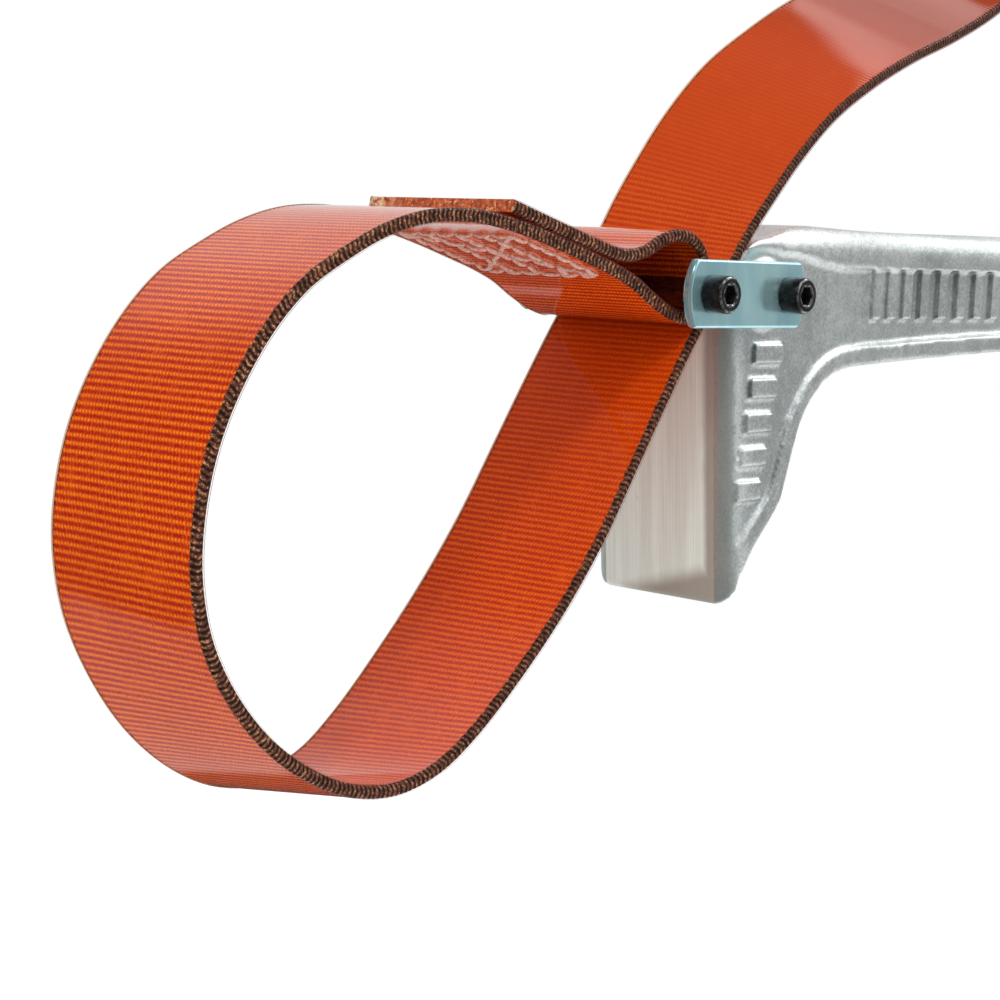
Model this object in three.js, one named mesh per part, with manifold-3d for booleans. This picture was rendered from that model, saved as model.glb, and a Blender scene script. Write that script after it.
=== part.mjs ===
// Strap wrench: cast handle with a hooked head, two link plates on socket head
// screws, and a coated webbing strap that is sewn into an eye, runs round a pipe
// and comes back through the nip between the eye and the nose of the head.
// Millimetres, +Z up. X runs along the handle, Y across the strap, and the origin
// is the middle of the grip; the pivot screw is PIVOT_X to the left of it.
import * as THREE from "three";
import { mergeVertices } from "three/addons/utils/BufferGeometryUtils.js";
import { ConvexGeometry } from "three/addons/geometries/ConvexGeometry.js";
import Module from "manifold-3d";

const wasm = await Module();
wasm.setup();

// ---- driving dimensions ----
const PIVOT_X = -80; // pivot screw axis in the part's frame; every x below counts from it
const SCREW_PITCH = 20.2; // pivot screw to eye screw
const GAP = 0.15; // between pieces that bear on each other
const RUNNING = 0.1; // radial clearance of the sleeve and the bush on their screws

const STRAP_WIDTH = 28.6; // 1-1/8 in webbing
const STRAP_THICK = 2.0;
const SELVEDGE_ROUND = 0.55;
const STRAP_STEPS = 190;
const STITCH_ROWS = 6;
const STITCH_R = 0.28;
const STITCH_EDGE = 3; // outermost row to the selvedge
const STITCH_X0 = -57;
const STITCH_X1 = -38.5;

const HEAD_HALF = 14.5; // half width of the head
const WEB_HALF_HEAD = 13.6; // half thickness between the recessed panels, at the head
const GRIP_HALF = 9.2; // half width of the grip's ribs
const WEB_HALF_GRIP = 7.4;
const RIB_WIDTH = 3.4;
const FRONT_TOP = [-10.3, -2.5]; // ground front face, upper and lower end
const FRONT_BOTTOM = [-6.0, -48.6];
const FRONT_RADIUS = 4.5; // rounded corners of the front face
const NOSE_RADIUS = 8.9;
const BOSS_R = 5.4;
const GRIP_TOP = 11.3;
const TOP_ROUND = 5.2;
const GRIP_END = 148;
const HANG_HOLE_R = 4;
const HANG_HOLE_X = 139;
const HEAD_BARS_Z = [-9.5, -15, -20.5, -26, -31.5];
const GRIP_BARS = 8;

const SCREW_R = 1.75; // #6 socket head cap screws
const SCREW_HEAD_R = 2.87;
const SCREW_HEAD_H = 3.5;
const SCREW_LENGTH = 38.1; // 1-1/2 in
const THREAD_R = 1.78; // the far plate's threaded holes
const SOCKET_AF = 2.78;
const SOCKET_DEPTH = 1.8;
const PLATE_INNER = 16.6; // inner faces of the link plates, from the middle
const PLATE_THICK = 1.6;
const PLATE_HALF_HEIGHT = 5.2; // near plate
const FAR_HALF_HEIGHT = 4.2; // far plate, whose ends are half circles
const PLATE_MARGIN = 3.5; // near plate: screw axis to where the end's arc starts
const PLATE_BULGE = 1.7; // height of that arc
const PLATE_HOLE_R = 1.95;
const BUSH_R = 3.1;
const SLEEVE_R = 2.35;
const SPACER_R = 4.2;

// Rear and lower edge of the casting's outline as [x, z], from the toe to the grip's end.
const BOTTOM_LINE = [
  [-3.7, -48.6], [-3.4, -46.8], [-2.3, -44.4], [-0.5, -41.6], [2.2, -38.8], [4.8, -36.3],
  [6.9, -33.6], [8.4, -29.8],
  [9.6, -26.2], [11.2, -22.4], [13.6, -18.7], [16.8, -15.7], [20.6, -13.7], [25, -12.7],
  [32, -12.2], [46, -11.9], [64, -11.3], [86, -10.6], [110, -10.2], [128, -10.4],
];
const TOP_LINE = [
  [0, NOSE_RADIUS], [4, 9.7], [9, 10.9], [15, 11.2], [30, 11.0], [50, 11.0],
  [75, GRIP_TOP], [100, GRIP_TOP + 0.2], [128, GRIP_TOP],
];
const TOE = [[-4.1, -49.8], [-4.9, -50.1], [-5.7, -49.7]];

// Strap's middle line as [x, z, twist], twist being how much higher the far edge
// (+Y) is than the near one. Sewn tail first, then the eye, the loop, the free run.
const STRAP_LINE = [
  [-60.8, 11.45, 0],
  [-51.5, 8.95, 0],
  [-42.6, 6.65, 0],
  [-37.9, 5.55, 0],
  [-34.6, 5.35, 0],
  [-31.2, 6.0, 0],
  [-27.6, 7.6, 0],
  [-23.6, 8.55, 0],
  [-19.8, 8.0, 0],
  [-17.1, 5.9, 0],
  [-16.2, 2.8, 0],
  [-16.4, 0, 0],
  [-17.5, -2.75, 0],
  [-20.4, -3.85, 0],
  [-24.4, -3.1, 0],
  [-28.8, -1.2, 0],
  [-33.5, 1.3, 0],
  [-38, 3.0, 0],
  [-42.7, 4.4, 0],
  [-51.4, 6.8, 0],
  [-60.5, 8.85, 0],
  [-68.5, 9.8, 0],
  [-77.5, 9.3, 0],
  [-85, 7.3, 0],
  [-92, 4.1, 0],
  [-98.5, 0.3, 0],
  [-104.2, -5.1, 0],
  [-109.1, -12, 0],
  [-112.6, -19.4, 0],
  [-114.5, -27.6, 0],
  [-114.7, -35, 0],
  [-113, -43, -0.6],
  [-109.2, -50.6, -1.6],
  [-103.2, -58.2, -3],
  [-96, -64, -4],
  [-88, -67.9, -4.4],
  [-79.4, -69.2, -4.4],
  [-71.5, -67.3, -3.8],
  [-64.5, -62.9, -2.8],
  [-56, -55.5, -1.6],
  [-47.4, -46.9, -0.6],
  [-38.9, -36.7, 0],
  [-30.9, -25, 0],
  [-24.6, -15.7, 0],
  [-18.9, -7.6, 0],
  [-15.5, -3.3, 0.2],
  [-12.4, 0.8, 0.8],
  [-9.8, 4.5, 1.6],
  [-7.1, 8.3, 2.6],
  [-4, 12.4, 3.8],
  [1, 18.1, 5.6],
  [7.4, 24.8, 7.3],
  [17.3, 33.1, 8.8],
  [28.8, 39.8, 9.8],
  [41.2, 45.7, 11.2],
  [55, 50.8, 11.4],
  [68, 56.3, 11],
  [78, 61.8, 10],
  [86, 66.9, 9],
];

// ---- helpers ----
// A closed geometry as a solid for cutting and joining.
function solid(geometry) {
  const g = geometry.index ? geometry.toNonIndexed() : geometry.clone();
  g.deleteAttribute("normal");
  g.deleteAttribute("uv");
  const m = mergeVertices(g, 1e-4);
  return new wasm.Manifold(
    new wasm.Mesh({
      numProp: 3,
      vertProperties: m.attributes.position.array,
      triVerts: new Uint32Array(m.index.array),
    }),
  );
}
// A cut or joined solid as a geometry again.
function geometryOf(body) {
  const m = body.getMesh();
  return new THREE.BufferGeometry()
    .setAttribute("position", new THREE.BufferAttribute(new Float32Array(m.vertProperties), 3))
    .setIndex([...m.triVerts]);
}
const shapeOf = (points) => new THREE.Shape(points.map(([x, y]) => new THREE.Vector2(x, y)));
const slab = (points, depth) =>
  new THREE.ExtrudeGeometry(shapeOf(points), { depth, bevelEnabled: false });
// A polygon in XZ as a solid between two values of y.
const prism = (points, y0, y1) =>
  solid(slab(points, y1 - y0).rotateX(Math.PI / 2).translate(0, y1, 0));
// A polygon in XY as an upright solid.
const upright = (points, z0, z1) => solid(slab(points, z1 - z0).translate(0, 0, z0));
// A polygon in YZ as a solid along X.
const along = (points, x0, x1) =>
  solid(
    slab(points, x1 - x0)
      .applyMatrix4(
        new THREE.Matrix4().makeBasis(
          new THREE.Vector3(0, 1, 0),
          new THREE.Vector3(0, 0, 1),
          new THREE.Vector3(1, 0, 0),
        ),
      )
      .translate(x0, 0, 0),
  );
// A round bar along Y at (x, z).
const rod = (r, y0, y1, x = 0, z = 0, seg = 36, rEnd = r) =>
  solid(new THREE.CylinderGeometry(rEnd, r, y1 - y0, seg).translate(x, (y0 + y1) / 2, z));
const join = (list) => list.reduce((a, b) => a.add(b));
const arc = (cx, cy, r, a0, a1, n) =>
  Array.from({ length: n + 1 }, (_, i) => {
    const a = ((a0 + ((a1 - a0) * i) / n) * Math.PI) / 180;
    return [cx + r * Math.cos(a), cy + r * Math.sin(a)];
  });
const hexagon = (af, turn = 0) => arc(0, 0, af / 2 / Math.cos(Math.PI / 6), turn, turn + 300, 5);
// A smooth line through the given points, as n + 1 points.
const smooth = (points, n) =>
  new THREE.CatmullRomCurve3(
    points.map(([x, z, w = 0]) => new THREE.Vector3(x, z, w)),
    false,
    "centripetal",
  )
    .getSpacedPoints(n)
    .map((p) => [p.x, p.y, p.z]);
// A closed skin over rings of equal length, capped at both ends.
function loft(rings) {
  const n = rings[0].length,
    tris = [];
  for (let i = 0; i + 1 < rings.length; i++)
    for (let j = 0; j < n; j++) {
      const k = (j + 1) % n;
      tris.push(i * n + j, i * n + k, (i + 1) * n + k, i * n + j, (i + 1) * n + k, (i + 1) * n + j);
    }
  const last = (rings.length - 1) * n;
  for (let j = 1; j + 1 < n; j++) tris.push(0, j + 1, j, last, last + j, last + j + 1);
  const all = rings.flat();
  let volume = 0;
  for (let i = 0; i < tris.length; i += 3)
    volume += all[tris[i]].dot(new THREE.Vector3().crossVectors(all[tris[i + 1]], all[tris[i + 2]]));
  if (volume < 0) tris.reverse();
  return new THREE.BufferGeometry()
    .setAttribute("position", new THREE.Float32BufferAttribute(all.flatMap((v) => [v.x, v.y, v.z]), 3))
    .setIndex(tris);
}

// ---- the strap: a ribbon swept along its line ----
function strap() {
  const w = STRAP_WIDTH / 2,
    h = STRAP_THICK / 2,
    r = SELVEDGE_ROUND;
  const section = [
    [-w, -h + r], [-w, h - r], [-w + r, h], [w - r, h],
    [w, h - r], [w, -h + r], [w - r, -h], [-w + r, -h],
  ];
  const line = smooth(STRAP_LINE, STRAP_STEPS);
  return loft(
    line.map((p, i) => {
      const a = line[Math.max(i - 1, 0)],
        b = line[Math.min(i + 1, line.length - 1)];
      const t = new THREE.Vector3(b[0] - a[0], 0, b[1] - a[1]).normalize();
      const across = new THREE.Vector3(0, STRAP_WIDTH, p[2]).normalize();
      const up = new THREE.Vector3().crossVectors(t, across).normalize();
      return section.map(([s, d]) =>
        new THREE.Vector3(p[0], 0, p[1]).addScaledVector(across, s).addScaledVector(up, d),
      );
    }),
  );
}

// ---- the stitching: one thread that runs to and fro over the sewn patch ----
// side +1 lies on top of the tail, -1 under the loop's layer.
function stitching(side) {
  const line = smooth(STRAP_LINE, 840);
  const turn = line.findIndex((p) => p[0] > -SCREW_PITCH + 3.5); // right end of the eye
  const layer = side > 0 ? line.slice(0, turn) : line.slice(turn, turn + 200);
  const half = STRAP_WIDTH / 2 - STITCH_EDGE;
  const level = (x) =>
    layer.reduce((a, b) => (Math.abs(a[0] - x) < Math.abs(b[0] - x) ? a : b))[1] +
    side * (STRAP_THICK / 2 + 0.2 + STITCH_R) * 1.05;
  const r = STITCH_R;
  const ring = (x, y, ax, ay) =>
    [[-r, -r], [r, -r], [r, r], [-r, r]].map(
      ([u, v]) => new THREE.Vector3(x + ax * u, y + ay * u, level(x) + v),
    );
  const row = (y) => {
    const steps = 8,
      rings = [];
    for (let k = 0; k <= steps; k++) {
      const x = STITCH_X0 - r + ((STITCH_X1 - STITCH_X0 + 2 * r) * k) / steps;
      rings.push(ring(x, y, 0, 1));
    }
    return solid(loft(rings));
  };
  const turnPiece = (x, y0, y1) => solid(loft([ring(x, y1, 1, 0), ring(x, y0, 1, 0)]));
  const parts = [];
  for (let i = 0; i <= STITCH_ROWS; i++) {
    const y = -half + (2 * half * i) / STITCH_ROWS;
    parts.push(row(y));
    if (i < STITCH_ROWS)
      parts.push(turnPiece(i % 2 ? STITCH_X0 : STITCH_X1, y, y + (2 * half) / STITCH_ROWS));
  }
  return geometryOf(join(parts));
}

// ---- handle casting ----
// Half width at x, widest at the head and easing into the grip.
const ease = (x, wide, slim) => {
  const t = Math.min(Math.max((x - 8) / 52, 0), 1);
  return wide + (slim - wide) * t * t * (3 - 2 * t);
};
const flat = (points) => points.map(([x, z]) => [x, z]);
function outline() {
  const endR = 10.8;
  return [
    FRONT_TOP,
    ...arc(0, 0, NOSE_RADIUS, 176, 95, 8),
    ...flat(smooth(TOP_LINE, 16)),
    ...arc(GRIP_END - endR, 0.4, endR, 84, -84, 14),
    ...flat(smooth([...BOTTOM_LINE].reverse(), 44)),
    ...TOE,
    FRONT_BOTTOM,
  ];
}
// Everything within the given half widths: head with rounded upright corners
// along the leaning front, and the plan easing into the grip behind it.
function planLimit(wide, slim) {
  const lean = (FRONT_TOP[0] - FRONT_BOTTOM[0]) / (FRONT_TOP[1] - FRONT_BOTTOM[1]);
  const corners = (z) => {
    const x = FRONT_TOP[0] + (z - FRONT_TOP[1]) * lean + FRONT_RADIUS,
      r = FRONT_RADIUS;
    return [
      ...arc(x, -wide + r, r, 180, 270, 7), ...arc(x, wide - r, r, 90, 180, 7), [8, -wide], [8, wide],
    ].map(([u, v]) => new THREE.Vector3(u, v, z));
  };
  const front = solid(new ConvexGeometry([...corners(-60), ...corners(20)]));
  const side = [];
  for (let x = 7.9; x < 62; x += 6) side.push([x, -ease(x, wide, slim)]);
  side.push([GRIP_END + 2, -slim]);
  const back = upright([...side, ...[...side].reverse().map(([x, y]) => [x, -y])], -60, 20);
  return front.add(back);
}
// Rounds the top across the grip, and the head's two lower corners.
function crossLimit() {
  const top = GRIP_TOP + 0.3;
  const ring = (x) => {
    const w = ease(x, HEAD_HALF, GRIP_HALF) + 0.01,
      r = TOP_ROUND;
    return [
      ...arc(w - r, top - r, r, 0, 90, 5), ...arc(-w + r, top - r, r, 90, 180, 5), [-w, -60], [w, -60],
    ].map(([y, z]) => new THREE.Vector3(x, y, z));
  };
  const tunnel = solid(loft([-14, 8, 16, 24, 32, 40, 50, 60, GRIP_END + 3].map(ring)));
  const r = FRONT_RADIUS,
    low = TOE[1][1] - 0.1,
    w = HEAD_HALF;
  const corners = along(
    [[-w - 1, 20], [-w - 1, low + r], ...arc(-w + r, low + r, r, 180, 270, 6), ...arc(w - r, low + r, r, 270, 360, 6), [w + 1, low + r], [w + 1, 20]],
    -20,
    GRIP_END + 5,
  );
  return tunnel.intersect(corners);
}
// The recessed side panels: outside the web, inside the rib line.
function pockets() {
  const low = smooth(BOTTOM_LINE, 44);
  const raised = low
    .map((p, i) => {
      const a = low[Math.max(i - 1, 0)],
        b = low[Math.min(i + 1, low.length - 1)],
        len = Math.hypot(b[0] - a[0], b[1] - a[1]);
      return [p[0] - ((b[1] - a[1]) / len) * RIB_WIDTH, p[1] + ((b[0] - a[0]) / len) * RIB_WIDTH];
    })
    .filter((p) => p[1] > -40 && p[0] < 126);
  const panel = [
    [-4.3, -40.6], ...raised,
    [128, -6.4], [130.5, -2], [130.5, 2], [128, 4.4], [100, 4.8], [60, 4.5], [24, 4.4], [16, 5.2],
    [8, 6.6], [0, 7], [-8.3, 7],
  ];
  return prism(panel, -30, 30).subtract(planLimit(WEB_HALF_HEAD, WEB_HALF_GRIP));
}
// Plain raised bars on the panels.
function castBars() {
  const bar = (x0, x1, z0, z1, side) => {
    const y = ease((x0 + x1) / 2, WEB_HALF_HEAD, WEB_HALF_GRIP) - 0.2;
    return solid(
      new THREE.BoxGeometry(x1 - x0, 2.6, z1 - z0).translate((x0 + x1) / 2, side * y, (z0 + z1) / 2),
    );
  };
  const bars = [];
  [1, -1].forEach((side) => {
    HEAD_BARS_Z.forEach((z, i) => bars.push(bar(-2.4 - i * 0.7, 5.5 - i * 1.02, z - 1.5, z + 1.5, side)));
    for (let k = 0; k < GRIP_BARS; k++)
      bars.push(bar(37.2 + k * 6.5, 40.4 + k * 6.5, -4.3, 4.0, side));
  });
  return join(bars);
}
function handle() {
  const limit = crossLimit();
  return geometryOf(
    prism(outline(), -HEAD_HALF - 1, HEAD_HALF + 1)
      .intersect(planLimit(HEAD_HALF, GRIP_HALF))
      .intersect(limit)
      .subtract(pockets())
      .add(castBars().intersect(limit))
      .add(rod(BOSS_R, -HEAD_HALF, HEAD_HALF)) // faces round the pivot
      .subtract(rod(BUSH_R + 0.02, -20, 20))
      .subtract(rod(HANG_HOLE_R, -20, 20, HANG_HOLE_X, 0.4)),
  );
}

// ---- link hardware, each piece about its own screw's axis ----
function plate(hole, h, bulge, margin) {
  const left = -SCREW_PITCH - margin,
    R = (h * h + bulge * bulge) / (2 * bulge),
    half = (Math.asin(Math.min(h / R, 1)) * 180) / Math.PI;
  return geometryOf(
    prism(
      [
        ...arc(margin + bulge - R, 0, R, -half, half, 12),
        ...arc(left - bulge + R, 0, R, 180 - half, 180 + half, 12),
      ],
      0,
      PLATE_THICK,
    )
      .subtract(rod(hole, -5, 5))
      .subtract(rod(hole, -5, 5, -SCREW_PITCH)),
  );
}
// Socket head cap screw, its head's seat at y = 0 and its shank towards +Y.
function screw() {
  return geometryOf(
    rod(SCREW_HEAD_R, -SCREW_HEAD_H + 0.4, 0)
      .add(rod(SCREW_HEAD_R - 0.4, -SCREW_HEAD_H, -SCREW_HEAD_H + 0.4, 0, 0, 36, SCREW_HEAD_R))
      .add(rod(SCREW_R, -0.5, SCREW_LENGTH))
      .subtract(prism(hexagon(SOCKET_AF, 30), -SCREW_HEAD_H - 1, -SCREW_HEAD_H + SOCKET_DEPTH)),
  );
}
const ring = (outer, inner, thick) =>
  geometryOf(rod(outer, 0, thick).subtract(rod(inner, -1, thick + 1)));

// ---- assembly ----
const steel = { roughness: 0.3, metalness: 1 };
const root = new THREE.Group();
root.position.x = PIVOT_X;
const pivot = new THREE.Group();
const eye = new THREE.Group();
eye.position.x = -SCREW_PITCH;
root.add(pivot, eye);
function add(group, name, geometry, look, y = 0) {
  const mesh = new THREE.Mesh(geometry, new THREE.MeshStandardMaterial(look));
  mesh.name = name;
  mesh.position.y = y;
  group.add(mesh);
}
const outerFace = PLATE_INNER + PLATE_THICK;
const spacer = PLATE_INNER - HEAD_HALF - 2 * GAP;

add(pivot, "handle_casting", handle(), { color: 0x9aa5a3, roughness: 0.45, metalness: 1 });
add(pivot, "link_plate_near", plate(PLATE_HOLE_R, PLATE_HALF_HEIGHT, PLATE_BULGE, PLATE_MARGIN), { color: 0x8fa9b0, ...steel }, -outerFace);
add(pivot, "link_plate_far", plate(THREAD_R, FAR_HALF_HEIGHT, FAR_HALF_HEIGHT, 0), { color: 0x8fa9b0, ...steel }, PLATE_INNER);
add(pivot, "pivot_bush", ring(BUSH_R - 0.03, SCREW_R + RUNNING, 2 * HEAD_HALF), { color: 0x8a6a3a, ...steel }, -HEAD_HALF);
add(pivot, "pivot_spacer_near", ring(SPACER_R, PLATE_HOLE_R, spacer), { color: 0xb0b4b4, ...steel }, -PLATE_INNER + GAP);
add(pivot, "pivot_spacer_far", ring(SPACER_R, PLATE_HOLE_R, spacer), { color: 0xb0b4b4, ...steel }, HEAD_HALF + GAP);
add(eye, "eye_sleeve", ring(SLEEVE_R, SCREW_R + RUNNING, 2 * (PLATE_INNER - GAP)), { color: 0x2a2624, ...steel }, -PLATE_INNER + GAP);
[["pivot", pivot], ["eye", eye]].forEach(([name, group]) => {
  add(group, name + "_screw", screw(), { color: 0x1c1a1a, roughness: 0.4, metalness: 1 }, -outerFace - GAP);
});
add(root, "strap", strap(), { color: 0xc04a14, roughness: 0.25, metalness: 0 });
add(root, "stitch_thread_top", stitching(1), { color: 0xe8c8b8, roughness: 0.5, metalness: 0 });
add(root, "stitch_thread_under", stitching(-1), { color: 0xe8c8b8, roughness: 0.5, metalness: 0 });

export default root;
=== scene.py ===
# Strap wrench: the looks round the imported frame. Metres, the frame's axes.
import math
import bmesh
import bpy
import numpy as np
from mathutils import Matrix, Vector

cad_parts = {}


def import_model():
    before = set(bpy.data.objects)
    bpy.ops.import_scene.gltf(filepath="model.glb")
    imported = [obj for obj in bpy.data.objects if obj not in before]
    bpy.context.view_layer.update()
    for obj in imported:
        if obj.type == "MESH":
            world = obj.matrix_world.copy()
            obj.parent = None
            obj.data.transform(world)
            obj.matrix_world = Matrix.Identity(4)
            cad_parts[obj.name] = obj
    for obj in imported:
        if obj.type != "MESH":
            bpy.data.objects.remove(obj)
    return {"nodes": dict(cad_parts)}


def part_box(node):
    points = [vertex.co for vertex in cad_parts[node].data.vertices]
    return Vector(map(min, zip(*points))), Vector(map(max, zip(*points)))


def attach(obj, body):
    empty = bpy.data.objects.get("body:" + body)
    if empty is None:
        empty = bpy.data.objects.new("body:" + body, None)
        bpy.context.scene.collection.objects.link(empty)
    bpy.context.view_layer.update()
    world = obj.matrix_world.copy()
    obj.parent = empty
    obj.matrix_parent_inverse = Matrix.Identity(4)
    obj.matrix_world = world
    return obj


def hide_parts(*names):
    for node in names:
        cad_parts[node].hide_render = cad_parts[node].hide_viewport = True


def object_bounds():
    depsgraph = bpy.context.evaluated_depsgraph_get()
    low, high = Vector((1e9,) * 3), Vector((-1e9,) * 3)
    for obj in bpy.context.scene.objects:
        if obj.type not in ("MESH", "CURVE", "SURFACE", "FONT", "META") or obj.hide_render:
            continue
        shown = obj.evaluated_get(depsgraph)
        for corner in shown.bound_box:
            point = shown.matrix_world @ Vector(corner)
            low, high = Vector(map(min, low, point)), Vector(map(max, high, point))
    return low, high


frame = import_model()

CAD_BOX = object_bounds()
MM = 0.001
FULL_TURN = 2 * math.pi


def middle(node):
    low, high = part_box(node)
    return (Vector(low) + Vector(high)) / 2


PIVOT = middle("pivot_screw")
X0 = PIVOT.x  # the strap's line, in mm, counts its x from here

# ---------------------------------------------------------------- camera
CAM_AT = (-0.35000, -0.20203, 0.00597)
CAM_AZIMUTH, CAM_ELEVATION, CAM_ROLL = (math.radians(v) for v in (-48.0, 7.1, -2.3))
CAM_LENS = 73.5
CAM_SENSOR = 36
CAM_CLIP = (0.01, 50)


def add_object(name, data):
    obj = bpy.data.objects.new(name, data)
    bpy.context.scene.collection.objects.link(obj)
    return obj


def make_camera():
    data = bpy.data.cameras.new("camera")
    data.lens, data.sensor_width = CAM_LENS, CAM_SENSOR
    data.clip_start, data.clip_end = CAM_CLIP
    cam = add_object("camera", data)
    a, e, r = CAM_AZIMUTH, CAM_ELEVATION, CAM_ROLL
    ahead = Vector((-math.sin(a) * math.cos(e), math.cos(a) * math.cos(e), -math.sin(e)))
    right = Vector((math.cos(a), math.sin(a), 0))
    down = ahead.cross(right)
    right, down = (math.cos(r) * right + math.sin(r) * down,
                   -math.sin(r) * right + math.cos(r) * down)
    pose = Matrix((right, -down, -ahead)).transposed().to_4x4()
    pose.translation = Vector(CAM_AT)
    cam.matrix_world = pose
    bpy.context.scene.camera = cam


make_camera()


# ---------------------------------------------------------------- node helpers
class Nodes:
    """A material's node tree, with short calls for what the materials share."""

    def __init__(self, name):
        self.mat = bpy.data.materials.new(name)
        self.mat.use_nodes = True
        self.tree = self.mat.node_tree
        self.shader = self.tree.nodes["Principled BSDF"]

    def new(self, kind, **values):
        node = self.tree.nodes.new(kind)
        for key, value in values.items():
            setattr(node, key, value)
        return node

    def link(self, a, b):
        self.tree.links.new(a, b)

    def put(self, socket, value):
        """value is a number, a colour or another node's output."""
        if hasattr(value, "is_output"):
            self.link(value, socket)
        else:
            socket.default_value = value

    def math(self, operation, a, b=0.0, c=0.0):
        node = self.new("ShaderNodeMath", operation=operation)
        for i, value in enumerate((a, b, c)):
            self.put(node.inputs[i], value)
        return node.outputs[0]

    def add(self, a, b):
        return self.math("ADD", a, b)

    def less(self, a, b):
        return self.math("SUBTRACT", a, b)

    def times(self, a, b):
        return self.math("MULTIPLY", a, b)

    def scaled(self, a, factor, plus):
        """a * factor + plus"""
        return self.math("MULTIPLY_ADD", a, factor, plus)

    def size(self, a):
        return self.math("ABSOLUTE", a)

    def wave(self, angle):
        """A sine between 0 and 1."""
        return self.scaled(self.math("SINE", angle), 0.5, 0.5)

    def mix(self, factor, a, b):
        node = self.new("ShaderNodeMix", data_type="RGBA")
        self.put(node.inputs["Factor"], factor)
        self.put(node.inputs[6], a)
        self.put(node.inputs[7], b)
        return node.outputs[2]

    def ramp(self, value, low, high, out_low=0.0, out_high=1.0):
        node = self.new("ShaderNodeMapRange", interpolation_type="SMOOTHSTEP")
        for i, end in enumerate((value, low, high, out_low, out_high)):
            self.put(node.inputs[i], end)
        return node.outputs[0]

    def noise(self, vector, scale, detail, rough):
        node = self.new("ShaderNodeTexNoise")
        self.put(node.inputs["Vector"], vector)
        node.inputs["Scale"].default_value = scale
        node.inputs["Detail"].default_value = detail
        node.inputs["Roughness"].default_value = rough
        return node.outputs["Fac"]

    def stretch(self, vector, scale):
        node = self.new("ShaderNodeMapping")
        self.link(vector, node.inputs["Vector"])
        node.inputs["Scale"].default_value = scale
        return node.outputs[0]

    def fibres(self, vector, scale, detail, rough):
        """Noise with a scale of its own along each axis."""
        return self.noise(self.stretch(vector, scale), 1.0, detail, rough)

    def place(self):
        return self.new("ShaderNodeTexCoord").outputs["Object"]

    def route(self):
        """The strap's (along, across, up) in metres, from its route attribute."""
        node = self.new("ShaderNodeAttribute", attribute_name="route", attribute_type="GEOMETRY")
        return node.outputs["Vector"]

    def split(self, vector):
        node = self.new("ShaderNodeSeparateXYZ")
        self.link(vector, node.inputs[0])
        return node.outputs

    def bump(self, height, strength, distance):
        node = self.new("ShaderNodeBump")
        node.inputs["Strength"].default_value = strength
        node.inputs["Distance"].default_value = distance
        self.link(height, node.inputs["Height"])
        return node.outputs[0]

    def set(self, **values):
        names = {"color": "Base Color", "rough": "Roughness", "metal": "Metallic",
                 "coat": "Coat Weight", "coat_rough": "Coat Roughness", "coat_ior": "Coat IOR",
                 "coat_normal": "Coat Normal", "spec": "Specular IOR Level", "alpha": "Alpha",
                 "normal": "Normal", "glow": "Emission Color", "glow_level": "Emission Strength"}
        for key, value in values.items():
            self.put(self.shader.inputs[names[key]], value)
        return self.mat


def rgb(red, green, blue):
    return red, green, blue, 1


# ---------------------------------------------------------------- cast aluminium
FACE_TOP = Vector((PIVOT.x - 10.3 * MM, 0, PIVOT.z - 2.5 * MM))
FACE_LOW = Vector((PIVOT.x - 6.0 * MM, 0, PIVOT.z - 48.6 * MM))
FACE_OUT = Vector((FACE_LOW.z - FACE_TOP.z, 0, FACE_TOP.x - FACE_LOW.x)).normalized()
FACE_CUT = 0.16 * MM  # how far the grinding goes into the casting
# where each look comes in: out through the casting towards the face's plane, or across it
FACE_DEPTH = (-0.9 * MM, -0.6 * MM)
FACE_HALF = (11.25 * MM, 11.1 * MM)
SHADED_DEPTH = (-3.4 * MM, -1.0 * MM)  # painted shade: the skin next to the face is darker
DULL_DEPTH = (-6.0 * MM, -3.5 * MM)  # and less like bare metal
# where the ground face darkens: across, towards its near side, and down, towards its foot
DARKER_SIDE = (-8.6 * MM, -10.2 * MM)
DARKER_FOOT = (FACE_LOW.z + 3.0 * MM, FACE_LOW.z - 0.5 * MM)


def cast_skin(n, place, fine):
    wide = n.noise(place, 60, 2, 0.5)
    tone = n.add(n.times(fine, 0.6), n.times(wide, 0.4))
    skin = n.mix(n.ramp(tone, 0.40, 0.60), rgb(0.60, 0.65, 0.64), rgb(0.88, 0.93, 0.92))
    pits = n.ramp(n.noise(place, 1300, 2, 0.6), 0.68, 0.78)
    return n.mix(n.times(pits, 0.5), skin, rgb(0.30, 0.32, 0.32))


def ground_metal(n, place, lines):
    broad = n.fibres(place, (1, 420, 16), 3, 0.6)
    tone = n.add(n.times(lines, 0.5), n.times(broad, 0.5))
    cut = n.mix(n.ramp(tone, 0.3, 0.7), rgb(0.67, 0.74, 0.67), rgb(0.84, 0.97, 0.90))
    spots = n.ramp(n.noise(place, 330, 4, 0.7), 0.66, 0.76, 0, 0.6)
    return n.mix(spots, cut, rgb(0.50, 0.46, 0.42))


def face_darkening(n, place, wander):
    """Darker down the near side of the ground face, and along its foot."""
    y, z = n.split(place)[1:]
    side = n.add(y, n.times(wander, 2.0))
    side = n.ramp(side, *DARKER_SIDE, 0.0, 0.92)
    foot = n.add(n.add(z, n.times(y, 0.3)), n.times(wander, 3.0))
    foot = n.ramp(foot, *DARKER_FOOT, 0.0, 0.95)
    return n.math("MAXIMUM", side, foot)


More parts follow.
